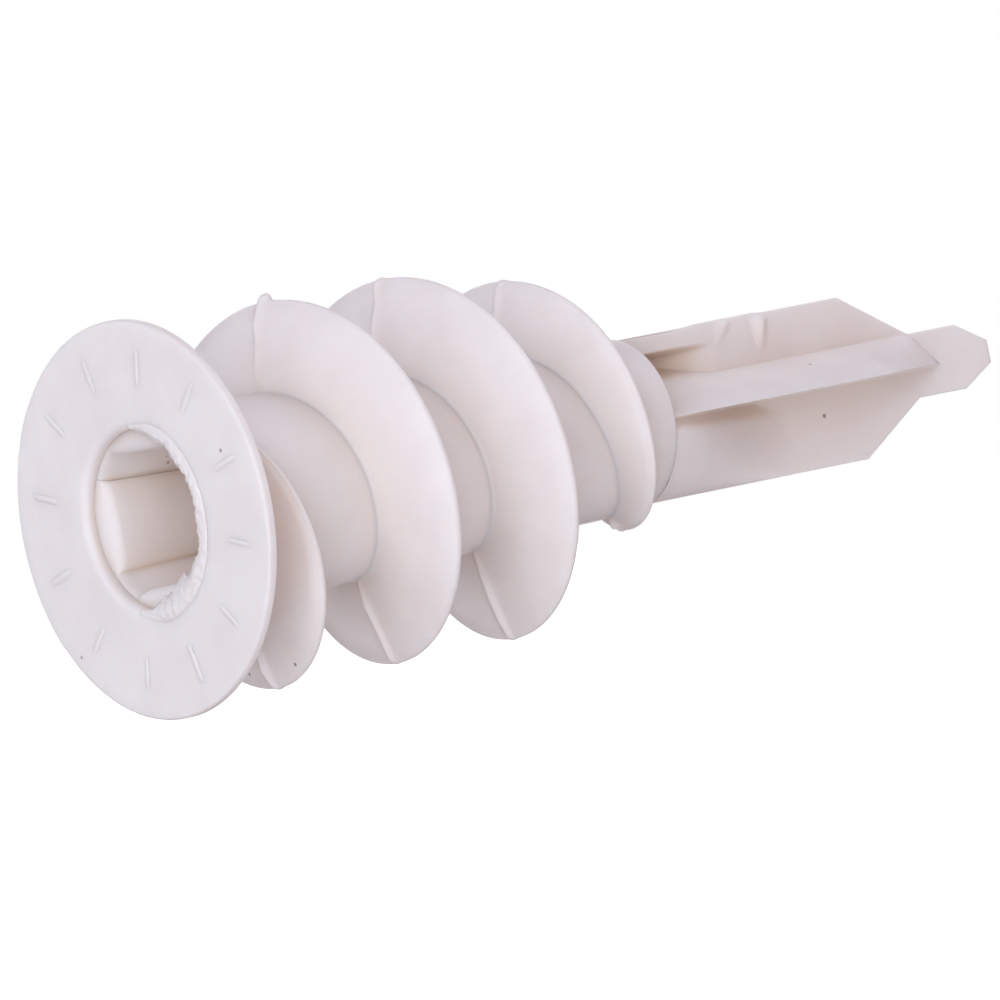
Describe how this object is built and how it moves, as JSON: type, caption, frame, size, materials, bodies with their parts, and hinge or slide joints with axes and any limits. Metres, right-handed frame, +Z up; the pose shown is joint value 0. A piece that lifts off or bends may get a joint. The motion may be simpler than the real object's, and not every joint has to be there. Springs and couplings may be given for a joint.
{
  "type": "self-drilling wall anchor",
  "caption": "Self-drilling plasterboard anchor: round flanged head with a cross drive socket, deep right-hand thread and a flat ribbed drill blade.",
  "frame": {"origin": "centre of the drive socket's mouth, in the outer face of the flange", "axes": "+X along the anchor's axis from the head to the tip, +Z up in the plane of the drill blade, +Y across the blade"},
  "size_m": [0.0417, 0.015, 0.015],
  "materials": {
    "nylon": "satin, slightly translucent moulded nylon"
  },
  "bodies": {
    "root": {"head_flange": "nylon", "drive_socket": "nylon", "drive_lugs": "nylon", "barrel": "nylon", "thread_run_in": "nylon", "thread_turn_1": "nylon", "thread_turn_2": "nylon", "thread_run_out": "nylon", "drill_root": "nylon", "blade_upper": "nylon", "blade_lower": "nylon", "rib_near": "nylon", "rib_far": "nylon", "spade_tip": "nylon"}
  },
  "joints": []
}
